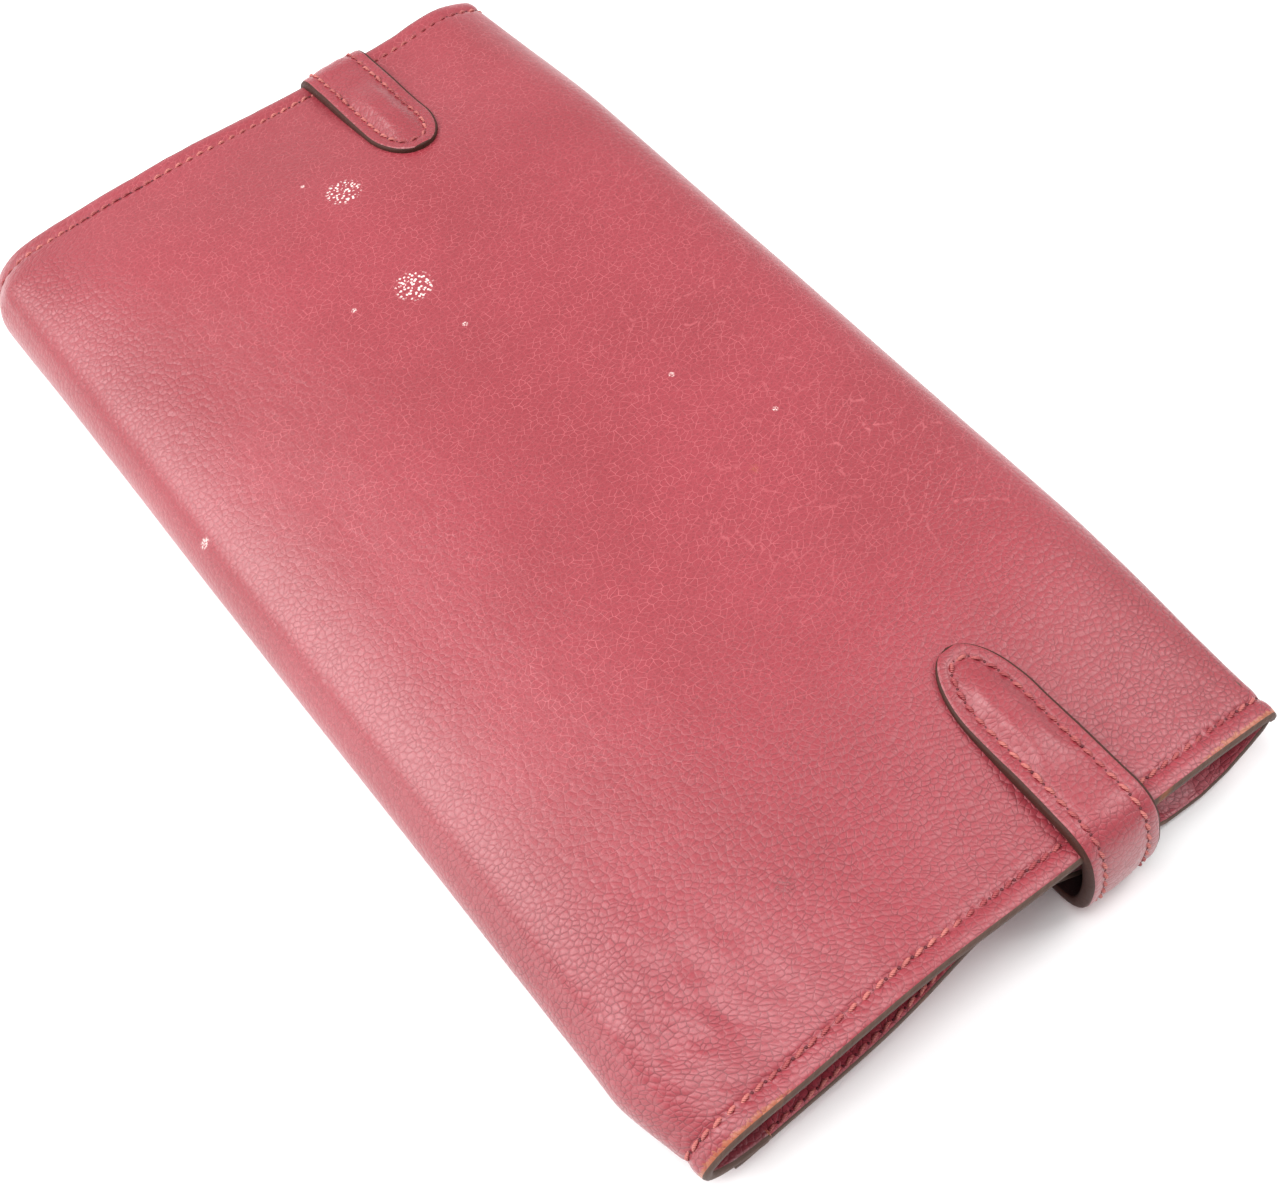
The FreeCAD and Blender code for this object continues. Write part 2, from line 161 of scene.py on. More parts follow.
def new_mesh(name, verts, faces, materials, face_materials=None, uv=None):
    """A mesh object from millimetre vertices. uv gives (u, v) in mm for each vertex."""
    mesh = bpy.data.meshes.new(name)
    mesh.from_pydata((np.asarray(verts, float) * MM).tolist(), [], faces)
    for material in materials:
        mesh.materials.append(material)
    if face_materials is not None:
        mesh.polygons.foreach_set("material_index", np.array(face_materials, np.int32))
    mesh.polygons.foreach_set("use_smooth", np.ones(len(mesh.polygons), bool))
    if uv is not None:
        layer = mesh.uv_layers.new(name="UVMap")
        loops = np.zeros(len(mesh.loops), np.int32)
        mesh.loops.foreach_get("vertex_index", loops)
        layer.data.foreach_set("uv", np.asarray(uv, float)[loops].astype(np.float32).ravel())
    mesh.validate()
    mesh.update()
    obj = bpy.data.objects.new(name, mesh)
    bpy.context.scene.collection.objects.link(obj)
    return obj


def rim_path(outer, inner):
    """A sheet's outline as (row, column), with its half thickness and the way out of the sheet."""
    na, nb, _ = outer.shape
    index = np.arange(na * nb).reshape(na, nb)
    ring = np.concatenate([index[:, 0], index[-1, 1:], index[-2::-1, -1], index[0, -2:0:-1]])
    rows, columns = np.divmod(ring, nb)
    half = (outer[rows, columns] - inner[rows, columns]) / 2
    size = np.linalg.norm(half, axis=1, keepdims=True)
    up = half / size
    out = outer[rows, columns] - outer[np.clip(rows, 1, na - 2), np.clip(columns, 1, nb - 2)]
    out -= up * np.sum(out * up, axis=1, keepdims=True)
    out /= np.maximum(np.linalg.norm(out, axis=1, keepdims=True), 1e-9)
    return rows, columns, half, out * size


def shell(name, outer, inner, uv, materials, swell=0.7, folded=False, painted=0):
    """A closed sheet between two grids of points (across, along), with a rounded rim.

    materials are for the outer face, the inner face and the rim. A folded sheet carries on
    into the next one along its long sides, so those keep the outer face's material. The
    rim's paint laps over the outermost rows of the outer face, as many as painted: partly
    real edge paint and partly painted shade for the dark line beside the edge.
    """
    na, nb, _ = outer.shape
    index = np.arange(na * nb).reshape(na, nb)
    a, b, c, d = index[:-1, :-1], index[1:, :-1], index[1:, 1:], index[:-1, 1:]
    front = np.stack([a, b, c, d], axis=-1).reshape(-1, 4)
    back = front[:, ::-1] + na * nb
    row_of, column_of, half, out = rim_path(outer, inner)
    ring = index[row_of, column_of]
    middle = (outer[row_of, column_of] + inner[row_of, column_of]) / 2
    thick = np.linalg.norm(half, axis=1).mean()
    verts = [outer.reshape(-1, 3), inner.reshape(-1, 3)]
    uvs = [uv.reshape(-1, 2)] * 2
    rows = [ring]
    for step in range(1, RIM_STEPS):
        angle = math.pi * step / RIM_STEPS
        verts.append(middle + half * math.cos(angle) + out * swell * math.sin(angle))
        uvs.append(uv.reshape(-1, 2)[ring] + [[step * thick, 0.0]])
        rows.append(2 * na * nb + (step - 1) * len(ring) + np.arange(len(ring)))
    rows.append(ring + na * nb)
    rim = [np.stack([p, q, np.roll(q, -1), np.roll(p, -1)], axis=-1) for p, q in zip(rows, rows[1:])]
    faces = np.concatenate([front, back] + rim)
    on_long_side = (row_of == na - 1) | (row_of == 0)
    rim_kind = np.where(folded & on_long_side & np.roll(on_long_side, -1), 0, 2)
    face_kind = np.zeros((na - 1, nb - 1))
    # the outermost rows take the rim's material: edge paint, and painted shade beside the edge
    if painted:
        face_kind[:painted] = face_kind[-painted:] = 2
        face_kind[:, 0] = 2
    kinds = np.concatenate([face_kind.ravel(), np.ones(len(back)), np.tile(rim_kind, RIM_STEPS)])
    return new_mesh(name, np.concatenate(verts), faces.tolist(), materials, kinds, np.concatenate(uvs))


def join(name, objects):
    """One object from several, keeping their materials."""
    with bpy.context.temp_override(active_object=objects[0], selected_editable_objects=objects,
                                   selected_objects=objects, object=objects[0]):
        bpy.ops.object.join()
    objects[0].name = name
    return objects[0]


# ---- Materials ----
class Nodes:
    """Short hand for building one material's node tree."""

    def __init__(self, name):
        self.material = bpy.data.materials.new(name)
        self.material.use_nodes = True
        self.tree = self.material.node_tree
        self.shader = self.tree.nodes["Principled BSDF"]

    def add(self, kind, inputs=None, **settings):
        node = self.tree.nodes.new(kind)
        for key, value in settings.items():
            setattr(node, key, value)
        for key, value in (inputs or {}).items():
            self.feed(node.inputs[key], value)
        return node

    def feed(self, socket, value):
        if isinstance(value, bpy.types.NodeSocket):
            self.tree.links.new(value, socket)
        else:
            socket.default_value = value

    def surface(self, inputs):
        """Feeds the shader and returns the finished material."""
        for key, value in inputs.items():
            self.feed(self.shader.inputs[key], value)
        return self.material

    def place(self):
        """Where a point is on its object, in metres."""
        return self.add("ShaderNodeTexCoord").outputs["Object"]

    def math(self, operation, a, b=0.0, c=0.0):
        return self.add("ShaderNodeMath", {0: a, 1: b, 2: c}, operation=operation).outputs[0]

    def product(self, first, *others):
        for value in others:
            first = self.math("MULTIPLY", first, value)
        return first

    def stored(self, name, output="Fac"):
        """A value or vector stored on the mesh for each vertex."""
        return self.add("ShaderNodeAttribute", attribute_name=name).outputs[output]

    def uv(self):
        """A point's place on the leather, in mm."""
        return self.add("ShaderNodeUVMap").outputs[0]

    def vector(self, operation, a, b):
        return self.add("ShaderNodeVectorMath", {0: a, 1: b}, operation=operation).outputs[0]

    def ramp(self, value, low, high, to_low=0.0, to_high=1.0):
        node = self.add("ShaderNodeMapRange", {"Value": value, "From Min": low, "From Max": high,
                                               "To Min": to_low, "To Max": to_high})
        node.interpolation_type = "SMOOTHSTEP"
        return node.outputs["Result"]

    def noise(self, vector, scale, detail=3.0, rough=0.55):
        return self.add("ShaderNodeTexNoise", {"Vector": vector, "Scale": scale, "Detail": detail,
                                               "Roughness": rough}).outputs[0]

    def cells(self, vector, scale, feature="DISTANCE_TO_EDGE"):
        return self.add("ShaderNodeTexVoronoi", {"Vector": vector, "Scale": scale},
                        feature=feature, voronoi_dimensions="2D").outputs["Distance"]

    def stretch(self, vector, x, y):
        return self.vector("MULTIPLY", vector, (x, y, 1.0))

    def turned(self, vector, degrees, length):
        """The vector drawn out to length times as long, along a direction in degrees from X."""
        return self.add("ShaderNodeMapping", {"Vector": vector, "Rotation": (0, 0, math.radians(degrees)),
                                              "Scale": (length, 1, 1)}, vector_type="TEXTURE").outputs[0]

    def mix(self, factor, a, b):
        node = self.add("ShaderNodeMix", data_type="RGBA")
        self.feed(node.inputs["Factor"], factor)
        self.feed(node.inputs["A"], a)
        self.feed(node.inputs["B"], b)
        return node.outputs["Result"]

    def bump(self, height, distance, strength=1.0, below=None):
        inputs = {"Height": height, "Distance": distance, "Strength": strength}
        if below is not None:
            inputs["Normal"] = below
        return self.add("ShaderNodeBump", inputs).outputs["Normal"]


def srgb(r, g, b):
    """A shader colour from 0-255 values."""
    return tuple(((c / 255 + 0.055) / 1.055) ** 2.4 if c > 10 else c / 255 / 12.92
                 for c in (r, g, b)) + (1.0,)


def scaled(colour, factor):
    return tuple(c * factor for c in colour[:3]) + (1.0,)


PINK = srgb(146, 42, 53)
PINK_LIGHT = srgb(153, 47, 59)
PINK_DARK = srgb(126, 35, 43)
# painted shade: the cover's pink darkened for the leather inside the wallet
SHADED_PINK = srgb(124, 38, 50)
SHADED_PINK_LIGHT = srgb(134, 44, 56)
# painted highlight: the pale colour of light caught along the edges of hairlines and creases
CREASE_HIGHLIGHT = srgb(216, 116, 122)
# deep wine: the dark mark's and the pores' colour, and painted shade in the grain's valleys
DEEP_WINE_AND_VALLEY_SHADE = srgb(108, 22, 34)
SPECKLE = srgb(236, 214, 208)
OCHRE = srgb(166, 92, 50)
TAUPE = srgb(80, 60, 52)
BROWN = srgb(58, 28, 20)
LINING_DARK = srgb(40, 22, 22)
# painted shade: the darkest shaded pink, for the insides
SHADED_PINK_DARK = srgb(120, 42, 52)
THREAD_WINE = srgb(150, 56, 64)
THREAD_PINK = srgb(202, 118, 110)

PEBBLE_SCALE = 1.15           # pebbles of grain to the mm
NET_SCALE = 1.05              # meshes of the net of pale hairlines, likewise
CREASE_SCALE = 0.42           # long creases, likewise
CREASE_ANGLE = 30.0           # degrees from X
CREASE_LENGTH = 4.0           # times their spacing


def grain(n, coarse_mask, lined):
    """Pebbled leather from UV in mm: returns the UV, the height, a mask of painted shade in
    the valleys between the pebbles and a mask of painted highlight along the pale hairlines and creases.

    coarse_mask is 1 where the pebbles stand up and 0 where only hairlines show. lined is
    how much the long creases show.
    """
    uv = n.uv()
    warp = n.add("ShaderNodeTexNoise", {"Vector": uv, "Scale": 0.3, "Detail": 2.0}).outputs["Color"]
    warp = n.vector("SUBTRACT", warp, (0.5, 0.5, 0.5))
    warp = n.add("ShaderNodeVectorMath", {0: warp, "Scale": 1.2}, operation="SCALE").outputs[0]
    place = n.vector("ADD", uv, warp)
    skin = n.stretch(place, 0.85, 1.0)
    pebbles = n.cells(skin, PEBBLE_SCALE)
    from_centre = n.cells(skin, PEBBLE_SCALE, "F1")
    net = n.cells(n.stretch(place, 0.75, 1.0), NET_SCALE)
    diagonal = n.cells(n.turned(place, CREASE_ANGLE, CREASE_LENGTH), CREASE_SCALE)
    faint = n.ramp(n.noise(uv, 0.4, 2.0), 0.35, 0.65, 0.25, 1.0)
    broken = n.ramp(n.noise(uv, 1.1, 2.0), 0.42, 0.56)
    flat = n.math("SUBTRACT", 1.0, coarse_mask)
    dome = n.math("SUBTRACT", 1.0, n.product(from_centre, from_centre))
    dome = n.product(dome, n.ramp(pebbles, 0.0, 0.14, 0.75, 1.0))
    depth = n.math("MULTIPLY_ADD", coarse_mask, 0.92, 0.08)
    height = n.math("MULTIPLY_ADD", dome, depth, n.product(n.noise(uv, 3.4, 2.0), 0.10))
    valley_shade = n.product(n.ramp(pebbles, 0.02, 0.10, 1.0, 0.0), faint, coarse_mask)
    thin = n.product(n.ramp(net, 0.012, 0.055, 1.0, 0.0), faint, flat)
    crease = n.product(n.ramp(diagonal, 0.01, 0.05, 1.0, 0.0), broken, lined)
    return uv, height, valley_shade, n.math("MAXIMUM", thin, crease)


def leather(name, light, base, dark, coarse=0.6, bump=0.20, spots=False):
    """Grained leather with creases, soft colour drift and a satin finish, with painted shade in the
    valleys between the pebbles and a painted highlight along the pale hairlines and creases.

    bump is the pebbles' height in mm. With spots, the mesh says where the leather is
    coarse, lined and worn, and the marks of use are added.
    """
    n = Nodes(name)
    mask = coarse
    lined = 0.0
    if spots:
        mask = n.stored("coarse")
        lined = n.stored("lined")
    uv, height, valley_shade, pale_line_highlight = grain(n, mask, lined)
    drift = n.noise(uv, 0.03, 4.0)
    mottle = n.noise(uv, 0.9, 3.0)
    colour = n.mix(n.ramp(drift, 0.35, 0.65), base, light)
    colour = n.mix(n.product(n.ramp(mottle, 0.4, 0.75), 0.2), colour, dark)
    pore = n.ramp(n.noise(uv, 2.6, 2.0, 0.7), 0.50, 0.66)
    colour = n.mix(n.product(pore, 0.46), colour, DEEP_WINE_AND_VALLEY_SHADE)
    # painted highlight: pale hairlines and long creases, where light catches their edges
    colour = n.mix(n.product(pale_line_highlight, 0.5), colour, CREASE_HIGHLIGHT)
    # painted shade: the valleys between the pebbles darkened to deep wine
    colour = n.mix(n.product(valley_shade, 0.75), colour, DEEP_WINE_AND_VALLEY_SHADE)
    if spots:
        colour = marks(n, colour)
    rough = n.math("MULTIPLY_ADD", valley_shade, 0.25, n.math("MULTIPLY_ADD", mottle, 0.14, 0.35))
    wrinkle = n.bump(n.noise(n.stretch(uv, 0.5, 0.3), 1.0), 0.30 * MM, 0.5)
    return n.surface({"Base Color": colour, "Roughness": rough, "Specular IOR Level": 0.5,
                      "Coat Weight": 0.55, "Coat Roughness": 0.36,
                      "Sheen Weight": 0.06, "Sheen Roughness": 0.5,
                      "Normal": n.bump(height, bump * MM, 1.0, wrinkle)})


# Marks of use on the back cover: (x, y, radius) in mm
SPECKLED_SPOTS = [(2.6, 66.4, 3.1), (-0.2, 39.6, 3.2)]
SPECKS = [(-1.8, 73.2, 0.5), (-10.5, 41.7, 0.6), (1.6, 27.2, 0.6), (-51.5, 22.5, 1.0),
          (20.3, -2.6, 0.6), (28.2, -18.1, 0.6)]
ORANGE_SPECK = (18.6, -25.1, 1.2)
DARK_MARK = (40.1, 1.5, 1.6)
BROWN_STAIN = (-19.9, -78.7, 2.0)


def near_point(n, plan, x, y, radius, soft):
    """1 within radius of a point of the back cover in plan, falling to 0 beyond soft."""
    away = n.add("ShaderNodeVectorMath", {0: plan, 1: (x, y, 0.0)}, operation="DISTANCE")
    return n.ramp(away.outputs["Value"], radius, soft, 1.0, 0.0)


def marks(n, colour):
    """Speckled spots, specks, stains and worn corners, placed by the plan coordinate."""
    plan = n.stored("plan", "Vector")
    speckle = n.noise(plan, 3.4, 2.0, 0.75)
    flecks = n.ramp(n.cells(plan, 1.45, "F1"), 0.26, 0.36, 1.0, 0.0)
    flecks = n.product(flecks, n.ramp(n.noise(plan, 1.1, 2.0), 0.44, 0.50))
    for x, y, radius in SPECKLED_SPOTS:
        inside = near_point(n, plan, x, y, radius * 0.85, radius * 1.1)
        colour = n.mix(n.product(flecks, inside), colour, SPECKLE)
    for x, y, radius in SPECKS:
        inside = near_point(n, plan, x, y, radius * 0.4, radius)
        amount = n.product(n.ramp(speckle, 0.46, 0.56), inside)
        colour = n.mix(amount, colour, SPECKLE)
    for (x, y, radius), paint in ((ORANGE_SPECK, OCHRE), (DARK_MARK, DEEP_WINE_AND_VALLEY_SHADE), (BROWN_STAIN, BROWN)):
        inside = near_point(n, plan, x, y, radius * 0.3, radius)
        amount = n.product(n.ramp(speckle, 0.50, 0.56), inside)
        colour = n.mix(n.product(amount, 0.45), colour, paint)
    worn = n.stored("worn")
    rubbed = n.noise(plan, 1.3, 5.0, 0.75)
    amount = n.ramp(n.math("ADD", worn, n.product(rubbed, 1.4)), 1.46, 1.62)
    return n.mix(n.product(amount, 0.75), colour, OCHRE)


def painted_edge(name, colour, worn=OCHRE):
    """Streaky paint on a cut edge, rubbed to the worn colour here and there."""
    n = Nodes(name)
    uv = n.uv()
    streak = n.noise(n.stretch(uv, 0.8, 0.8), 1.6, 4.0, 0.7)
    shade = n.mix(n.ramp(streak, 0.3, 0.75), colour, scaled(colour, 1.4))
    rub = n.ramp(n.noise(uv, 0.12, 3.0), 0.60, 0.72)
    return n.surface({"Base Color": n.mix(n.product(rub, 0.35), shade, worn),
                      "Roughness": 0.6, "Specular IOR Level": 0.3,
                      "Normal": n.bump(streak, 0.15 * MM, 0.7)})


def smooth_lining(name, colour):
    """Thin smooth leather in uneven shades of one colour."""
    n = Nodes(name)
    uv = n.uv()
    soft = n.noise(uv, 0.5, 5.0, 0.6)
    return n.surface({"Base Color": n.mix(n.ramp(soft, 0.3, 0.7), scaled(colour, 0.62), colour),
                      "Roughness": 0.62, "Normal": n.bump(n.noise(uv, 3.0, 4.0), 0.06 * MM, 0.8)})


def thread(name, dark, light):
    """Waxed linen thread: two plies twisted together, rubbed lighter in places."""
    n = Nodes(name)
    place = n.place()
    ply = n.add("ShaderNodeTexWave", {"Vector": place, "Scale": 1300.0, "Distortion": 1.0},
                bands_direction="DIAGONAL").outputs["Fac"]
    fuzz = n.noise(place, 700.0, 3.0)
    rubbed = n.ramp(n.noise(place, 90.0, 3.0), 0.38, 0.62)
    shade = n.math("MULTIPLY_ADD", rubbed, 0.75, n.product(ply, fuzz, 0.5))
    return n.surface({"Base Color": n.mix(shade, dark, light), "Roughness": 0.6,
                      "Normal": n.bump(ply, 0.12 * MM, 0.8)})


def metal(name, colour, rough):
    """Metal with fine brushing and scratches."""
    n = Nodes(name)
    place = n.place()
    brush = n.noise(place, 900.0, 3.0)
    scratch = n.noise(n.stretch(place, 40.0, 4000.0), 1.0, 2.0)
    return n.surface({"Base Color": n.mix(n.ramp(brush, 0.3, 0.8), colour, scaled(colour, 0.7)),
                      "Metallic": 1.0,
                      "Roughness": n.ramp(scratch, 0.2, 0.8, rough * 0.8, rough * 1.3)})


def woven(name, colour):
    """Plain-woven tape."""
    n = Nodes(name)
    place = n.place()
    across, along = (n.add("ShaderNodeTexWave", {"Vector": place, "Scale": 900.0},
                           bands_direction=way).outputs["Fac"] for way in "XY")
    cloth = n.product(across, along)
    return n.surface({"Base Color": n.mix(cloth, colour, scaled(colour, 1.4)), "Roughness": 0.85,
                      "Normal": n.bump(cloth, 0.2 * MM, 0.8)})


def felt(name, colour):
    """Pressed fibres."""
    n = Nodes(name)
    place = n.place()
    fibre = n.noise(place, 1500.0, 6.0, 0.8)
    return n.surface({"Base Color": n.mix(fibre, colour, scaled(colour, 0.6)), "Roughness": 0.95,
                      "Normal": n.bump(fibre, 0.3 * MM, 0.8)})


COVER_LEATHER = leather("cover_leather", PINK_LIGHT, PINK, PINK_DARK, spots=True)
STRAP_LEATHER = leather("strap_leather", PINK_LIGHT, PINK, PINK_DARK, coarse=0.72, bump=0.17)
# painted shade: the linings and insides are the cover's pink leather, darkened
SHADED_INNER_LEATHER = leather("shaded_inner_leather", SHADED_PINK_LIGHT, SHADED_PINK, SHADED_PINK_DARK, coarse=0.8, bump=0.14)
# painted light: the front cover's inner face, the same pink leather made lighter to brighten its shaded
# strip
LIT_LIP_LEATHER = leather("lit_lip_leather", srgb(182, 72, 86), srgb(170, 62, 76), PINK_DARK, coarse=0.9)
POCKET_LEATHER = leather("pocket_leather", PINK, SHADED_PINK_LIGHT, SHADED_PINK, coarse=0.25, bump=0.08)
EDGE_PAINT = painted_edge("edge_paint", TAUPE)
STRAP_EDGE = painted_edge("strap_edge_paint", BROWN, BROWN)
STRAP_LINING = smooth_lining("strap_lining", LINING_DARK)
THREAD = thread("pink_thread", THREAD_WINE, THREAD_PINK)
# painted shade: the dark inside of the needle holes
HOLE_SHADE = smooth_lining("needle_hole_shade", srgb(100, 30, 38))
NICKEL = metal("nickel", srgb(205, 200, 192), 0.22)
TAPE = woven("zip_tape", srgb(128, 42, 56))
FELT = felt("felt", srgb(190, 184, 174))


# ---- Back cover ----
ACROSS = 230                  # points round the cross-section
UNDER_ROLL = 40               # the first of them, under and round the spine roll
CORNER_FOLD = 0.48            # soft folds by the near end of the spine roll
UNDER_PULL = 0.028            # the leather under the spine stops level with the front cover
HEM_PUFF = 0.22               # the leather swells between the seam and the end


def fine_relief(x, y, z, away_from_end):
    """Soft waves of worn leather, in mm, added along the surface normal."""
    p = Vector((x * 0.035, y * 0.018, z * 0.05))
    wave = noise.fractal(p, 0.9, 2.0, 3) * 0.15
    pucker = noise.fractal(Vector((x * 0.16, y * 0.05, 3.0)), 1.0, 2.0, 2) * 0.14
    near_end = math.exp(-away_from_end / 18.0)
    lift = wave * min(1.0, away_from_end / 8.0) + pucker * near_end
    if y < 0:
        at_corner = math.exp(-((x + 42) / 11) ** 2 - ((away_from_end - 13) / 10) ** 2)
        fold = noise.noise(Vector((x * 0.30 + y * 0.10, y * 0.16 - x * 0.05, 7.0)))
        lift += CORNER_FOLD * at_corner * fold
    if away_from_end < SEAM_INSET:
        lift += HEM_PUFF * math.sin(math.pi * min(1.0, (away_from_end + 0.25) / SEAM_INSET)) - 0.12
    return lift


def seam_groove(away_from_end, along_seam):
    """The row of stitches pulls the leather down, most between the stitches."""
    depth = math.exp(-((away_from_end - SEAM_INSET) / 0.65) ** 2)
    return -0.30 * depth * (0.75 + 0.25 * math.cos(2 * math.pi * along_seam / STITCH_PITCH))


def back_grid():
    """The back cover's smooth grid, its normals, its outer face with relief, and its UV."""
    ys = stations(HALF_LENGTH, edge_step=0.42, step=0.95)
    grid = np.zeros((ACROSS, len(ys), 3))
    run = run_along(spline(section(0), ACROSS))
    for j, y in enumerate(ys):
        curve = spline(section(y), ACROSS)
        grid[:, j, 0] = curve[:, 0]
        grid[:, j, 2] = curve[:, 1]
        under = smooth((curve[:, 0] + 50) / 9) * (curve[:, 1] < 5)
        grid[:, j, 1] = y * (1 - UNDER_PULL * under)
    uv = np.zeros((ACROSS, len(ys), 2))
    uv[..., 0] = run[:, None]
    uv[..., 1] = ys[None, :]
    normal = normals_of(grid)
    lift = np.zeros((ACROSS, len(ys), 1))
    for i in range(ACROSS):
        for j, y in enumerate(ys):
            away = HALF_LENGTH - abs(y)
            x, _, z = grid[i, j]
            lift[i, j] = fine_relief(x, y, z, away) + seam_groove(away, run[i])
    return grid, normal, grid + normal * lift, uv


def surface_z(x, y):
    """Height of the back cover's smooth outer surface, away from its folds."""
    ys = back_base[0, :, 1]
    at = float(np.interp(y, ys, np.arange(len(ys))))
    j = min(int(at), len(ys) - 2)
    top = back_base[UNDER_ROLL:]
    below, above = (np.interp(x, top[:, k, 0], top[:, k, 2]) for k in (j, j + 1))
    return float(below + (above - below) * (at - j))


def vertex_values(obj, name, kind, values):
    """Stores one value for each vertex, for the materials to read."""
    attribute = obj.data.attributes.new(name, kind, "POINT")
    key = "vector" if kind == "FLOAT_VECTOR" else "value"
    attribute.data.foreach_set(key, np.asarray(values, np.float32).ravel())


def grain_and_wear(obj):
    """Where the grain is coarse, where the corners are worn, and the plan coordinate."""
    co = np.array([v.co for v in obj.data.vertices]) / MM
    x, y = co[:, 0], co[:, 1]
    near = smooth((-y - 30) / 60)
    roll = smooth((-30 - x) / 18)
    right = smooth((x - 25) / 20) * 0.5
    patch = np.array([noise.fractal(Vector((a * 0.03, b * 0.03, 1.0)), 1.0, 2.0, 3)
                      for a, b in zip(x, y)])
    coarse = np.clip(0.08 + 0.75 * near + 0.40 * roll + 0.2 * right + 0.35 * patch, 0.0, 1.0)
    vertex_values(obj, "coarse", "FLOAT", coarse)
    beside_fold = smooth((x + 12) / 30) * smooth((y + 75) / 40) * smooth((60 - y) / 40)
    vertex_values(obj, "lined", "FLOAT", beside_fold * np.clip(0.5 + patch, 0, 1))
    end = smooth(1.0 - (HALF_LENGTH - np.abs(y)) / 2.2)
    corner = smooth((np.abs(x) - 24) / 16)
    vertex_values(obj, "worn", "FLOAT", end * corner * np.where(y < 0, 1.0, 0.45))
    plan = np.stack([x, y, np.zeros(len(x))], axis=1)
    vertex_values(obj, "plan", "FLOAT_VECTOR", plan)


back_base, back_normal, back_outer, back_uv = back_grid()
back_skin = shell("back_cover_skin", back_outer, back_base - back_normal * SKIN, back_uv,
                  [COVER_LEATHER, SHADED_INNER_LEATHER, EDGE_PAINT], folded=True)
grain_and_wear(back_skin)
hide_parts("back_cover_leather", "back_reinforcement", "back_lining")
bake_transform(back_skin)


# ---- Stitches ----
STITCH_RINGS = 6
STITCH_SIDES = 6
HOLE_WIDTH = 0.42
HOLE_DEPTH = 0.06
UNDER_SPINE = 14.0            # length of the back cover's end row that the spine roll hides


def stitch_mesh(length, width, height):
    """A plump stitch lying along X, sunk at both ends."""
    verts = []
    faces = []
    for r in range(STITCH_RINGS + 1):
        t = r / STITCH_RINGS
        swell = math.sin(math.pi * (0.08 + 0.84 * t)) ** 0.6
        lift = height * (math.sin(math.pi * t) * 1.3 - 0.5)
        for s in range(STITCH_SIDES):
            a = 2 * math.pi * s / STITCH_SIDES
            verts.append(((t - 0.5) * length, math.cos(a) * width / 2 * swell,
                          lift + math.sin(a) * height * 0.7 * swell))
    for r in range(STITCH_RINGS):
        for s in range(STITCH_SIDES):
            n = (s + 1) % STITCH_SIDES
            a = r * STITCH_SIDES
            b = a + STITCH_SIDES
            faces.append((a + s, b + s, b + n, a + n))
    faces.append(tuple(range(STITCH_SIDES)))
    last = STITCH_RINGS * STITCH_SIDES
    faces.append(tuple(last + s for s in reversed(range(STITCH_SIDES))))
    return np.array(verts), faces


def seam(name, places, slant=14.0):
    """Stitches at places, each (point, direction, normal); between them go dark dots of painted shade for
    the needle holes.
    """
    stitch, stitch_faces = stitch_mesh(STITCH_LENGTH, STITCH_WIDTH, STITCH_HEIGHT)
    hole, hole_faces = stitch_mesh(HOLE_WIDTH, HOLE_WIDTH, HOLE_DEPTH)
    verts = []
    faces = []
    kinds = []
    turn = math.radians(slant)
    for point, direction, normal in places:
        direction = direction / np.linalg.norm(direction)
        side = np.cross(normal, direction)
        ahead = direction * math.cos(turn) + side * math.sin(turn)
        across = np.cross(normal, ahead)
        basis = np.stack([ahead, across, normal])
        for shape, shape_faces, kind, shift in ((stitch, stitch_faces, 0, 0.0),
                                                (hole, hole_faces, 1, STITCH_PITCH / 2)):
            base = len(verts)
            origin = point + direction * shift
            verts.extend(origin + shape @ basis)
            faces.extend(tuple(base + k for k in f) for f in shape_faces)
            kinds.extend([kind] * len(shape_faces))
    return new_mesh(name, verts, faces, [THREAD, HOLE_SHADE], kinds)


def places_on_row(points, normals, first, last):
    """Stitch places along a polyline, from one run length to another."""
    run = run_along(points)
    places = []
    for at in np.arange(run[0] + first, run[-1] - last, STITCH_PITCH):
        p, q, n = (np.array([np.interp(s, run, source[:, k]) for k in range(3)])
                   for s, source in ((at, points), (at + 0.2, points), (at, normals)))
        places.append((p, q - p, n / np.linalg.norm(n)))
    return places


def cover_seam(name, outer, end, skip):
    """The stitch line along one short end of a grid, left out under the strap."""
    j = nearest(outer[-1, :, 1], end * (HALF_LENGTH - SEAM_INSET))
    points = outer[:, j, :]
    normals = normals_of(outer)[:, j, :]
    places = places_on_row(points, normals, UNDER_SPINE, 0.6)
    return seam(name, [p for p in places if not skip[0] < p[0][0] < skip[1]])


strap_span = (STRAP_X - STRAP_HALF + 0.6, STRAP_X + STRAP_HALF - 0.6)
back_seam = join("back_cover_thread", [cover_seam("seam_near", back_outer, -1, strap_span),
                                       cover_seam("seam_far", back_outer, 1, strap_span)])
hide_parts("back_edge_stitching")
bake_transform(back_seam)


# ---- Front cover ----
FRONT_HALF = 98.8
FRONT_SKIN = 1.25
FRONT_LEFT = -45.0
FRONT_RIGHT = 49.4
# Underside heights along the near end, as (x, z): the lip curls up beside the strap
NEAR_LIP = [(-45, 3.1), (-40, 3.9), (-36, 4.5), (-20, 6.2), (-5, 8.0), (5, 8.6), (11, 7.0), (17, 3.7),
            (27, 3.6), (31, 1.4), (38, 0.7), (43, 2.4), (46.5, 5.6), (49.4, 9.2)]
# The same along the middle, where the wallet rests
BELLY_SIDE = [(-45, 2.0), (-40, 1.4), (-36, 0.6), (-20, 0.2), (0, 0.0), (20, 0.2), (36, 0.9),
              (44, 2.4), (49.4, 4.8)]
END_HEIGHT = 3.5
LIP_LENGTH = 9.0


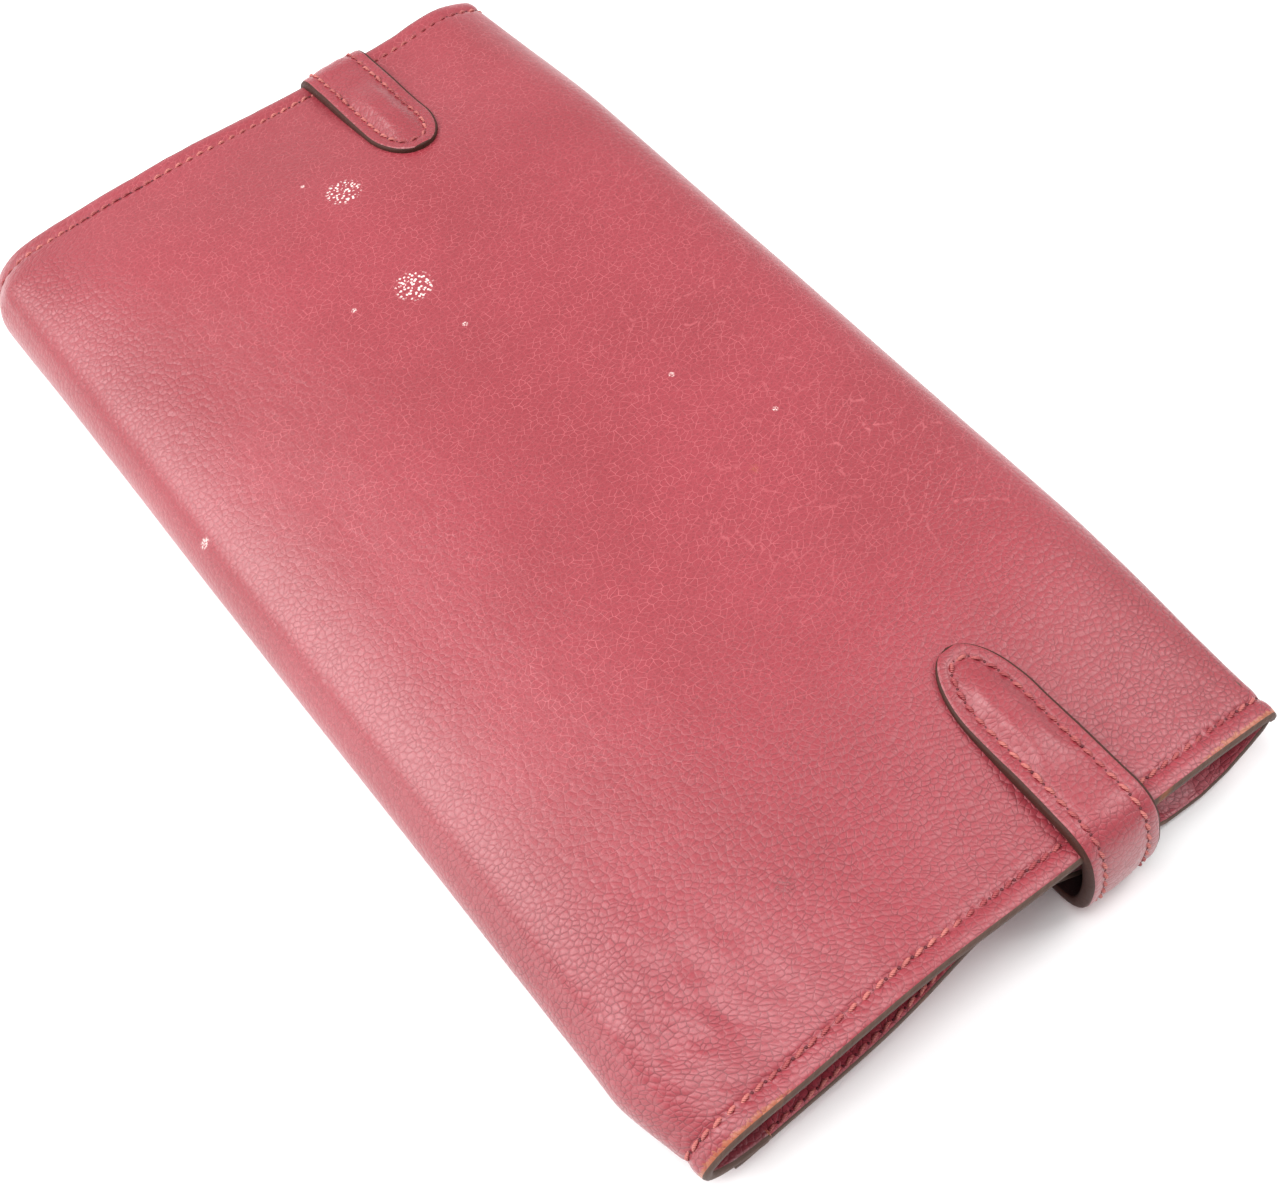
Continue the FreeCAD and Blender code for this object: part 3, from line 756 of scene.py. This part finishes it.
def front_bottom(x, y):
    """Height of the front cover's underside."""
    belly = np.interp(x, *zip(*BELLY_SIDE))
    rise = smooth((abs(y) - 52) / 24)
    ends = max(END_HEIGHT, belly + 0.6) + 1.2 * smooth((-38 - x) / 8)
    z = belly + (ends - belly) * rise
    if y < 0:
        lip = np.interp(x, *zip(*NEAR_LIP))
        z += (lip - z) * smooth((abs(y) - (FRONT_HALF - LIP_LENGTH)) / LIP_LENGTH)
    return z


def front_grid():
    """The front cover's outer face and its UV, its end set back a little in the middle."""
    xs = np.linspace(FRONT_RIGHT, FRONT_LEFT, 110)
    ys = stations(FRONT_HALF, edge_step=0.5, step=1.6)
    outer = np.zeros((len(xs), len(ys), 3))
    uv = np.zeros((len(xs), len(ys), 2))
    for i, x in enumerate(xs):
        for j, y in enumerate(ys):
            recess = 2.2 * math.exp(-((x - 4) / 16.0) ** 2) if y < 0 else 0.0
            shift = -math.copysign(recess, y) * smooth((abs(y) - 85) / 13)
            outer[i, j] = (x, y + shift, front_bottom(x, y) + 0.1 * noise.noise(Vector((x, y, 0)) * 0.06))
            uv[i, j] = (x, y)
    return outer, uv


front_outer, front_uv = front_grid()
front_normal = normals_of(front_outer)
front_inner = front_outer - front_normal * FRONT_SKIN
front_skin = shell("front_cover_skin", front_outer, front_inner, front_uv,
                   [COVER_LEATHER, LIT_LIP_LEATHER, EDGE_PAINT], swell=0.45)
grain_and_wear(front_skin)
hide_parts("front_cover_leather")
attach(front_skin, "front_cover")


def front_seam(name, face, normal, end, skip):
    """Stitches along a short end of one face of the front cover, left out within skip."""
    j = nearest(face[len(face) // 2, :, 1], end * (FRONT_HALF - SEAM_INSET))
    places = places_on_row(face[:, j, :], normal[:, j, :], 2.0, 2.0)
    return seam(name, [p for p in places if not skip[0] < p[0][0] < skip[1]])


STUD_SPAN = (13, 60)          # no row inside the cover here, beside the snap's stud
front_rows = []
for end in (-1, 1):
    front_rows.append(front_seam("front_row_under", front_outer, front_normal, end, strap_span))
    front_rows.append(front_seam("front_row_inside", front_inner, -front_normal, end, STUD_SPAN))
front_thread = join("front_cover_thread", front_rows)
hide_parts("front_edge_stitching")
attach(front_thread, "front_cover")


# ---- Inner flap ----
FLAP_FOLD = [(48.9, 13.2), (49.5, 11.6), (49.2, 10.2), (48.0, 9.1), (45.6, 8.6)]
FLAP_SKIN = 1.7
FLAP_ROWS = 90
FOLD_ROWS = 28                # the first of them, round the fold, have no stitches


def flap_grid():
    """The inner flap's outer and inner faces and UV, from the fold to its free side."""
    low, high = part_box("inner_flap_leather")
    tip = low.x / MM
    path = FLAP_FOLD + [(x, 8.6) for x in np.linspace(40, tip, 6)]
    curve = spline(path, FLAP_ROWS)
    ys = stations(high.y / MM, edge_step=0.8, step=2.4)
    base = np.zeros((len(curve), len(ys), 3))
    uv = np.zeros((len(curve), len(ys), 2))
    run = run_along(curve)
    for j, y in enumerate(ys):
        base[:, j, 0], base[:, j, 2], base[:, j, 1] = curve[:, 0], curve[:, 1], y
        uv[:, j, 0], uv[:, j, 1] = run, y
    normal = normals_of(base)
    edge = np.minimum(np.abs(np.abs(ys) - ys[-1])[None, :], (run[-1] - run)[:, None])
    groove = -0.2 * np.exp(-((edge - 2.6) / 0.6) ** 2) * smooth(run / 6)[:, None]
    return base + normal * groove[..., None], base - normal * FLAP_SKIN, uv


flap_outer, flap_inner, flap_uv = flap_grid()
flap_skin = shell("inner_flap_skin", flap_outer, flap_inner, flap_uv,
                  [COVER_LEATHER, SHADED_INNER_LEATHER, EDGE_PAINT])
grain_and_wear(flap_skin)
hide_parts("inner_flap_leather", "inner_flap_lining")
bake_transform(flap_skin)


def loop_seam(name, outer, inset, sides):
    """Stitches along chosen sides of a sheet: "low" and "high" across, "near" and "far" along."""
    normal = normals_of(outer)
    rows = []
    for side in sides:
        if side in ("near", "far"):
            ys = outer[len(outer) // 2, :, 1]
            j = nearest(ys, ys.min() + inset if side == "near" else ys.max() - inset)
            line, up = outer[:, j], normal[:, j]
        else:
            xs = outer[:, outer.shape[1] // 2, 0]
            i = nearest(xs, xs.min() + inset if side == "low" else xs.max() - inset)
            line, up = outer[i], normal[i]
        rows.append(seam(f"row_{side}", places_on_row(line, up, inset, inset)))
    return join(name, rows)


flap_thread = loop_seam("inner_flap_thread", flap_outer[FOLD_ROWS:], 2.6, ("low", "near", "far"))
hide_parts("inner_flap_stitching")
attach(flap_thread, "inner_flap")


# ---- Inner panels ----
def spaced(low, high, fine, coarse, zone):
    """Places from low to high, closer together near both."""
    edge = np.arange(0, zone, fine)
    middle = np.linspace(low + zone, high - zone, max(4, int((high - low - 2 * zone) / coarse)))
    return np.concatenate([low + edge, middle, high - edge[::-1]])


def soft_panel(name, low, high, facing, materials, lift=None, round_corner=3.0):
    """A sheet of leather in a box, facing up (1) or down (-1), its open face gently uneven."""
    xs = spaced(low[0], high[0], 0.7, 2.2, 4.0)[::facing]
    ys = spaced(low[1], high[1], 0.8, 2.4, 4.0)
    face = high[2] if facing > 0 else low[2]
    thickness = high[2] - low[2]
    outer = np.zeros((len(xs), len(ys), 3))
    for i, x in enumerate(xs):
        for j, y in enumerate(ys):
            edge_x = min(x - low[0], high[0] - x)
            edge_y = min(y - low[1], high[1] - y)
            in_corner = max(0.0, round_corner - edge_x)
            inset = round_corner - math.sqrt(max(0.0, round_corner ** 2 - in_corner ** 2))
            pulled = y - math.copysign(inset, y - (low[1] + high[1]) / 2) * (edge_y < 6)
            wave = 0.14 * noise.fractal(Vector((x * 0.05, y * 0.04, face)), 1.0, 2.0, 2)
            groove = 0.16 * math.exp(-((min(edge_x, edge_y) - 1.8) / 0.5) ** 2)
            up = lift(x, y) if lift else 0.0
            relief = wave * smooth(min(edge_x, edge_y) / 5) - groove
            outer[i, j] = (x, pulled, face + up + facing * relief)
    inner = outer.copy()
    inner[..., 2] -= facing * max(thickness - 0.06, 0.3)
    uv = np.stack([outer[..., 0], outer[..., 1]], axis=-1)
    return shell(name, outer, inner, uv, materials, swell=0.5), outer


PANEL = [POCKET_LEATHER, POCKET_LEATHER, EDGE_PAINT]


def card_slot(node, body):
    """A stepped card slot: two sheets side by side, stitched along their ends."""
    low, high = (np.array(v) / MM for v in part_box(node))
    sheets = []
    rows = []
    for y0, y1 in ((low[1], -1.5), (1.5, high[1])):
        sheet, outer = soft_panel(f"{node}_sheet", (low[0], y0, low[2]), (high[0], y1, high[2]), 1, PANEL)
        sheets.append(sheet)
        rows.append(loop_seam("slot_row", outer, 1.8, ("near", "far")))
    piece = join(f"{node}_sheets", sheets + rows)
    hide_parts(node)
    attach(piece, body)


for number in range(1, 5):
    card_slot(f"front_card_slot_{number}", "front_cover")
for number in range(1, 4):
    card_slot(f"inner_flap_card_slot_{number}", "inner_flap")


def lining_deck():
    """The front cover's lining: flat under the card slots, turned down at its edges."""
    low, high = (np.array(v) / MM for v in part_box("front_lining"))

    def droop(x, y):
        edge = min(x - low[0], high[0] - x, y - low[1], high[1] - y)
        return -1.4 * smooth(1 - edge / 5)

    sheet, _ = soft_panel("front_lining_deck", low, high, 1, [SHADED_INNER_LEATHER] * 3, droop)
    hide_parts("front_lining")
    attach(sheet, "front_cover")


lining_deck()


def coin_panel(node, open_side):
    """A wall of the zipped pocket, curving up to the lining except along the zip."""
    low, high = (np.array(v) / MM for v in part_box(node))

    def rise(x, y):
        fold_side = x - low[0] if open_side == "high" else high[0] - x
        near_fold = smooth(1 - fold_side / 7)
        near_end = smooth(1 - min(y - low[1], high[1] - y) / 8)
        gap = surface_z(max(-44.0, min(x, 44.0)), y) - SKIN - high[2] - 0.1
        return max(0.0, gap) * max(near_fold * 0.8, near_end)

    sheet, outer = soft_panel(f"{node}_wall", low, high, -1, PANEL, rise, round_corner=2.0)
    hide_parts(node)
    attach(sheet, "back_cover")
    return outer


main_wall = coin_panel("coin_pocket_panel", "low")
strip_wall = coin_panel("coin_pocket_spine_strip", "high")
pocket_thread = join("coin_pocket_thread", [
    loop_seam("main_row", main_wall, 2.2, ("low", "near", "far")),
    loop_seam("strip_row", strip_wall, 2.2, ("high", "near", "far"))])
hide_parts("coin_pocket_stitching")
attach(pocket_thread, "back_cover")


def flat_sheet(node, body, facing, material):
    """A thin sheet in place of one CAD node, filling the same box."""
    low, high = (np.array(v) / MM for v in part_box(node))
    sheet, _ = soft_panel(f"{node}_sheet", low, high, facing, [material] * 3, round_corner=1.0)
    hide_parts(node)
    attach(sheet, body)
    return sheet


flat_sheet("zip_tape_left", "back_cover", -1, TAPE)
flat_sheet("zip_tape_right", "back_cover", -1, TAPE)
flat_sheet("front_padding", "front_cover", 1, FELT)


# ---- Straps ----
# The strap's outer face past the cover's end, as (|y|, z)
LOOP_PATH = [(94.0, 19.9), (96.6, 19.7), (99.0, 18.7), (100.7, 16.6), (101.7, 13.2), (102.1, 9.6),
             (101.8, 5.4), (100.7, 2.6), (98.5, 1.1), (95.2, 0.75), (90.0, 0.72), (STRAP_TIP, 0.75)]
LIFT_START = 80.0             # from here on the strap stands off the cover
LIFT = 0.6
TIP_LENGTH = {"near": 12.0, "far": 9.5}
LOOSE_TIP_LENGTH = 9.0
PAD_END = 90.0                # the padding under the tab stops here, in |y|
PAD_DOME = 1.15
TIP_PARING = 0.42             # share of its thickness that the tab loses towards the tip
STRAP_ROWS = 230
STRAP_COLUMNS = 33


def edge_distance(from_side, from_tip):
    """Distance in from the strap's outline, rounded where its side meets its tip."""
    side, tip = max(from_side, 0.01), max(from_tip, 0.01)
    return (side ** -4 + tip ** -4) ** -0.25


def skived(y):
    """Thickness of the sewn tab, pared down towards its tip."""
    return STRAP_THICKNESS * (1 - TIP_PARING * smooth((88 - abs(y)) / 14))


def strap_line(end):
    """The middle of the strap's outer face, from the tab's tip to the loose tip."""
    first_y, first_z = LOOP_PATH[0]
    rise = surface_z(STRAP_X, end * first_y) + STRAP_THICKNESS + LIFT - first_z
    loop = [(y, z + rise * smooth((z - 9) / 10)) for y, z in LOOP_PATH]
    tab = []
    for y in np.linspace(TAB_TIP, 91.0, 9):
        lift = LIFT * smooth((y - LIFT_START) / 14)
        tab.append((y, surface_z(STRAP_X, end * y) + skived(y) + 0.1 + lift))
    return spline([(STRAP_X, end * y, z) for y, z in tab + loop], STRAP_ROWS)


def strap_relief(from_edge, dome, x, along, end):
    """How far the strap's outer face stands off: its dome, seam groove, soft edge and wear."""
    inside = smooth((from_edge - STRAP_SEAM - 0.1) / 2.6)
    groove = 0.26 * math.exp(-((from_edge - STRAP_SEAM) / 0.42) ** 2)
    round_edge = 0.22 * smooth(1 - from_edge / 0.6)
    wear = 0.10 * noise.fractal(Vector((x * 0.25, along * 0.18, end * 4.0)), 1.0, 2.0, 2)
    return dome * inside - groove - round_edge + wear


def strap_grid(end_name, end):
    """The strap's outer and inner faces as grids, from the tab's tip to the loose tip."""
    line = strap_line(end)
    tangent = np.gradient(line, axis=0)
    tangent /= np.linalg.norm(tangent, axis=1, keepdims=True)
    outward = np.cross((1.0, 0.0, 0.0), tangent) * end
    run = run_along(line)
    across = np.sin(np.linspace(-1, 1, STRAP_COLUMNS) * math.pi / 2)
    outer = np.zeros((STRAP_COLUMNS, STRAP_ROWS, 3))
    inner = np.zeros_like(outer)
    for j in range(STRAP_ROWS):
        y = abs(line[j, 1])
        from_tab = min(run[j] / TIP_LENGTH[end_name], 1.0)
        from_loose = min((run[-1] - run[j]) / LOOSE_TIP_LENGTH, 1.0)
        half = STRAP_HALF * math.sqrt(1 - (1 - min(from_tab, from_loose)) ** 2) + 0.25
        on_tab = line[j, 2] > CORNER_Z and y < 100
        hug = smooth((98 - y) / 8) if on_tab else 0.0
        padded = float(smooth((run[j] - 2.5) / 9) * smooth((PAD_END - y) / 9)) if on_tab else 0.0
        thickness = skived(y) if on_tab else STRAP_THICKNESS
        dome = PAD_DOME * padded + (0.0 if line[j, 2] < 3.0 else 0.2)
        for i, a in enumerate(across):
            x = STRAP_X + a * half
            base = line[j].copy()
            base[0] = x
            if hug > 0:
                base[2] += hug * (surface_z(x, line[j, 1]) - surface_z(STRAP_X, line[j, 1]))
            from_edge = edge_distance(half - abs(a * half), run[j])
            relief = strap_relief(from_edge, dome, x, run[j], end)
            outer[i, j] = base + outward[j] * relief
            inner[i, j] = base - outward[j] * thickness
    return outer, inner, run


def strap_seam_places(outer, run):
    """Stitches up one side of the strap, round its tip and down the other."""
    normal = normals_of(outer)
    sides = []
    for sign in (-1, 1):
        points = []
        normals = []
        for j in range(outer.shape[1]):
            row = outer[:, j, :]
            order = np.argsort(row[:, 0])
            half = (row[order[-1], 0] - row[order[0], 0]) / 2
            if run[j] < STRAP_SEAM + 0.01 or run[j] > run[-1] - 14:
                continue
            offset = half - (STRAP_SEAM ** -4 - run[j] ** -4) ** -0.25
            if offset < 0.2:
                continue
            target = STRAP_X + sign * offset
            points.append([np.interp(target, row[order, 0], row[order, k]) for k in range(3)])
            normals.append([np.interp(target, row[order, 0], normal[order, j, k]) for k in range(3)])
        sides.append((np.array(points), np.array(normals)))
    (left, left_n), (right, right_n) = sides
    return places_on_row(np.vstack([left[::-1], right]), np.vstack([left_n[::-1], right_n]), 0.8, 0.8)


def locking_stitches(places):
    """The places just past the padding, where the thread is sewn over twice."""
    return [(p + n * 0.22, d, n) for p, d, n in places
            if PAD_END - 4.0 < abs(p[1]) < PAD_END - 0.6 and p[2] > CORNER_Z]


def strap(end_name, end):
    """One strap with its tab and its thread."""
    outer, inner, run = strap_grid(end_name, end)
    if end < 0:
        outer, inner = outer[::-1], inner[::-1]
    uv = np.zeros(outer.shape[:2] + (2,))
    uv[..., 0] = outer[..., 0]
    uv[..., 1] = run[None, :]
    # three rows of the strap's face take its dark edge paint, partly painted shade beside the edge
    band = shell(f"{end_name}_strap_band", outer, inner, uv, [STRAP_LEATHER, STRAP_LINING, STRAP_EDGE],
                 swell=0.3, painted=3)
    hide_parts(f"{end_name}_tab_leather", f"{end_name}_tab_lining", f"{end_name}_tab_padding",
                f"{end_name}_strap_leather", f"{end_name}_strap_lining")
    places = strap_seam_places(outer, run)
    stitches = join(f"{end_name}_strap_thread",
                    [seam("tab_row", places), seam("locked", locking_stitches(places), slant=-6.0)])
    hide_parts(f"{end_name}_tab_stitching", f"{end_name}_strap_stitching")
    for piece in (band, stitches):
        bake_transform(piece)


strap("near", -1)
strap("far", 1)


# ---- CAD nodes that stay, with better materials ----
# Only the snaps and the zip's metal are left.
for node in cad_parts.values():
    if not node.hide_render:
        node.data.materials.clear()
        node.data.materials.append(NICKEL)


# ---- Stage, lights and camera ----
FLOOR = 25000                 # half the floor's side, in mm
FLOOR_PALE = srgb(250, 250, 250)
FLOOR_SHADE = srgb(247, 247, 247)
WORLD_LIGHT = 0.62


def make_stage():
    """A pale floor."""
    corners = [(-FLOOR, -FLOOR, 0), (FLOOR, -FLOOR, 0), (FLOOR, FLOOR, 0), (-FLOOR, FLOOR, 0)]
    floor = new_mesh("floor", corners, [(0, 1, 2, 3)], [])
    n = Nodes("pale_floor")
    place = n.place()
    shade = n.mix(n.noise(place, 3.0), FLOOR_PALE, FLOOR_SHADE)
    floor.data.materials.append(n.surface({"Base Color": shade, "Roughness": 0.9,
                                           "Specular IOR Level": 0.1}))


def area_light(name, place, aim, size, power):
    """A rectangular light at place, turned to aim, in metres and watts."""
    light = bpy.data.lights.new(name, "AREA")
    light.shape = "RECTANGLE"
    light.size, light.size_y = size
    light.energy = power
    obj = bpy.data.objects.new(name, light)
    obj.location = place
    obj.rotation_mode = "QUATERNION"
    obj.rotation_quaternion = (Vector(aim) - Vector(place)).to_track_quat("-Z", "Y")
    bpy.context.scene.collection.objects.link(obj)


def make_lights():
    area_light("key", (-0.47, 0.47, 0.74), (0, 0, 0.01), (0.55, 0.45), 6.9)
    area_light("top", (-0.20, -0.10, 1.0), (0, 0, 0), (0.4, 0.4), 4.2)
    area_light("fill", (0.55, -0.2, 0.7), (0.02, -0.05, 0), (0.4, 0.4), 3.5)
    area_light("side", (-0.85, 0.2, 0.22), (0, 0, 0.01), (0.5, 0.3), 2.0)
    world = bpy.data.worlds.new("studio")
    world.use_nodes = True
    world.node_tree.nodes["Background"].inputs["Color"].default_value = (1, 1, 1, 1)
    world.node_tree.nodes["Background"].inputs["Strength"].default_value = WORLD_LIGHT
    bpy.context.scene.world = world
    bpy.context.scene.view_settings.view_transform = "Standard"


CAMERA_PLACE = (-0.0723, -0.1528, 0.2345)
CAMERA_HEADING = 28.07        # degrees from +Y towards +X
CAMERA_ELEVATION = 57.29
CAMERA_ROLL = -10.6
CAMERA_LENS = 50.2


def make_camera():
    data = bpy.data.cameras.new("camera")
    data.lens = CAMERA_LENS
    data.clip_start = 0.01
    camera = bpy.data.objects.new("camera", data)
    turn = (Matrix.Rotation(-math.radians(CAMERA_HEADING), 4, "Z")
            @ Matrix.Rotation(math.radians(90 - CAMERA_ELEVATION), 4, "X")
            @ Matrix.Rotation(math.radians(CAMERA_ROLL), 4, "Z"))
    camera.matrix_world = Matrix.Translation(CAMERA_PLACE) @ turn
    bpy.context.scene.collection.objects.link(camera)
    bpy.context.scene.camera = camera


make_stage()
make_lights()
make_camera()
